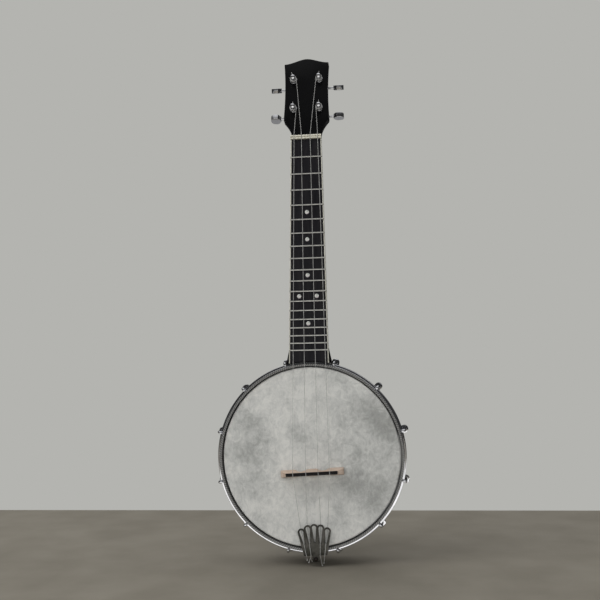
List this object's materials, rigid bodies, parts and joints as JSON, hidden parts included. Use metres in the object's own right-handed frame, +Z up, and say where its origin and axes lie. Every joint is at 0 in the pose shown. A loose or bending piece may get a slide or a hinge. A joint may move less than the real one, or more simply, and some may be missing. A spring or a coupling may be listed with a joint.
{
  "type": "banjo ukulele",
  "caption": "Concert banjo ukulele with an open-backed wooden pot, bracket hooks, long fretted neck, bridge, tailpiece and geared tuners.",
  "frame": {"origin": "on the flat back face of the rim, in the middle of its wall, at the tail end", "axes": "+Z up along the strings from the tail to the headstock, +Y out of the open back, -Y out of the head's face, +X to the right as the face is seen"},
  "size_m": [0.217, 0.0727, 0.5871],
  "materials": {
    "rim_wood": "dark stained and lacquered",
    "head_film": "mottled fibre look, satin",
    "steel": "plain plated",
    "chrome": "polished",
    "neck_lacquer": "black gloss lacquer",
    "fretboard_wood": "dark, oiled, satin",
    "ivoroid": "cream, satin",
    "maple": "bare, fine sanded",
    "ebony": "black, polished",
    "cast_nickel": "dark nickel, polished",
    "nylon": "clear to white, smooth"
  },
  "bodies": {
    "instrument": {"rim": "rim_wood", "head_film": "head_film", "flesh_hoop": "steel", "tension_hoop": "chrome", "hook_01": "chrome", "hook_02": "chrome", "hook_03": "chrome", "hook_04": "chrome", "hook_05": "chrome", "hook_06": "chrome", "hook_07": "chrome", "hook_08": "chrome", "hook_09": "chrome", "hook_10": "chrome", "hook_11": "chrome", "hook_12": "chrome", "shoe_01": "chrome", "shoe_02": "chrome", "shoe_03": "chrome", "shoe_04": "chrome", "shoe_05": "chrome", "shoe_06": "chrome", "shoe_07": "chrome", "shoe_08": "chrome", "shoe_09": "chrome", "shoe_10": "chrome", "shoe_11": "chrome", "shoe_12": "chrome", "coordinator_rod": "steel", "end_bolt": "steel", "neck": "neck_lacquer", "fretboard": "fretboard_wood", "binding_left": "ivoroid", "binding_right": "ivoroid", "nut": "ivoroid", "bridge_base": "maple", "bridge_cap": "ebony", "tailpiece_plate": "cast_nickel", "tailpiece_hanger": "cast_nickel", "tailpiece_bolt": "steel", "tuner_bushing_1": "chrome", "tuner_bushing_2": "chrome", "tuner_bushing_3": "chrome", "tuner_bushing_4": "chrome", "tuner_plate_1": "chrome", "tuner_plate_2": "chrome", "tuner_plate_3": "chrome", "tuner_plate_4": "chrome", "string_1": "nylon", "string_2": "nylon", "string_3": "nylon", "string_4": "nylon"},
    "knob_1": {"tuner_knob_1": "chrome"},
    "knob_2": {"tuner_knob_2": "chrome"},
    "knob_3": {"tuner_knob_3": "chrome"},
    "knob_4": {"tuner_knob_4": "chrome"},
    "post_1": {"tuner_post_1": "chrome"},
    "post_2": {"tuner_post_2": "chrome"},
    "post_3": {"tuner_post_3": "chrome"},
    "post_4": {"tuner_post_4": "chrome"}
  },
  "joints": [
    {"name": "knob_1_turn", "type": "hinge", "parent": "instrument", "child": "knob_1", "pos_m": [-0.0152, -0.02112, 0.48868], "axis": [-1, 0, 0], "continuous": true},
    {"name": "knob_2_turn", "type": "hinge", "parent": "instrument", "child": "knob_2", "pos_m": [-0.0152, -0.0135, 0.52581], "axis": [-1, 0, 0], "continuous": true},
    {"name": "knob_3_turn", "type": "hinge", "parent": "instrument", "child": "knob_3", "pos_m": [0.0152, -0.0135, 0.52581], "axis": [1, 0, 0], "continuous": true},
    {"name": "knob_4_turn", "type": "hinge", "parent": "instrument", "child": "knob_4", "pos_m": [0.0152, -0.02112, 0.48868], "axis": [1, 0, 0], "continuous": true},
    {"name": "post_1_turn", "type": "hinge", "parent": "instrument", "child": "post_1", "pos_m": [-0.0152, -0.03294, 0.49621], "axis": [0, -0.9796, 0.2011], "continuous": true, "deforming": ["string_1"]},
    {"name": "post_2_turn", "type": "hinge", "parent": "instrument", "child": "post_2", "pos_m": [-0.0152, -0.02532, 0.53334], "axis": [0, -0.9796, 0.2011], "continuous": true, "deforming": ["string_2"]},
    {"name": "post_3_turn", "type": "hinge", "parent": "instrument", "child": "post_3", "pos_m": [0.0152, -0.02532, 0.53334], "axis": [0, -0.9796, 0.2011], "continuous": true, "deforming": ["string_3"]},
    {"name": "post_4_turn", "type": "hinge", "parent": "instrument", "child": "post_4", "pos_m": [0.0152, -0.03294, 0.49621], "axis": [0, -0.9796, 0.2011], "continuous": true, "deforming": ["string_4"]}
  ],
  "couplings": [
    {"joint": "post_1_turn", "follows": "knob_1_turn", "ratio": 0.071429},
    {"joint": "post_2_turn", "follows": "knob_2_turn", "ratio": 0.071429},
    {"joint": "post_3_turn", "follows": "knob_3_turn", "ratio": -0.071429},
    {"joint": "post_4_turn", "follows": "knob_4_turn", "ratio": -0.071429}
  ]
}
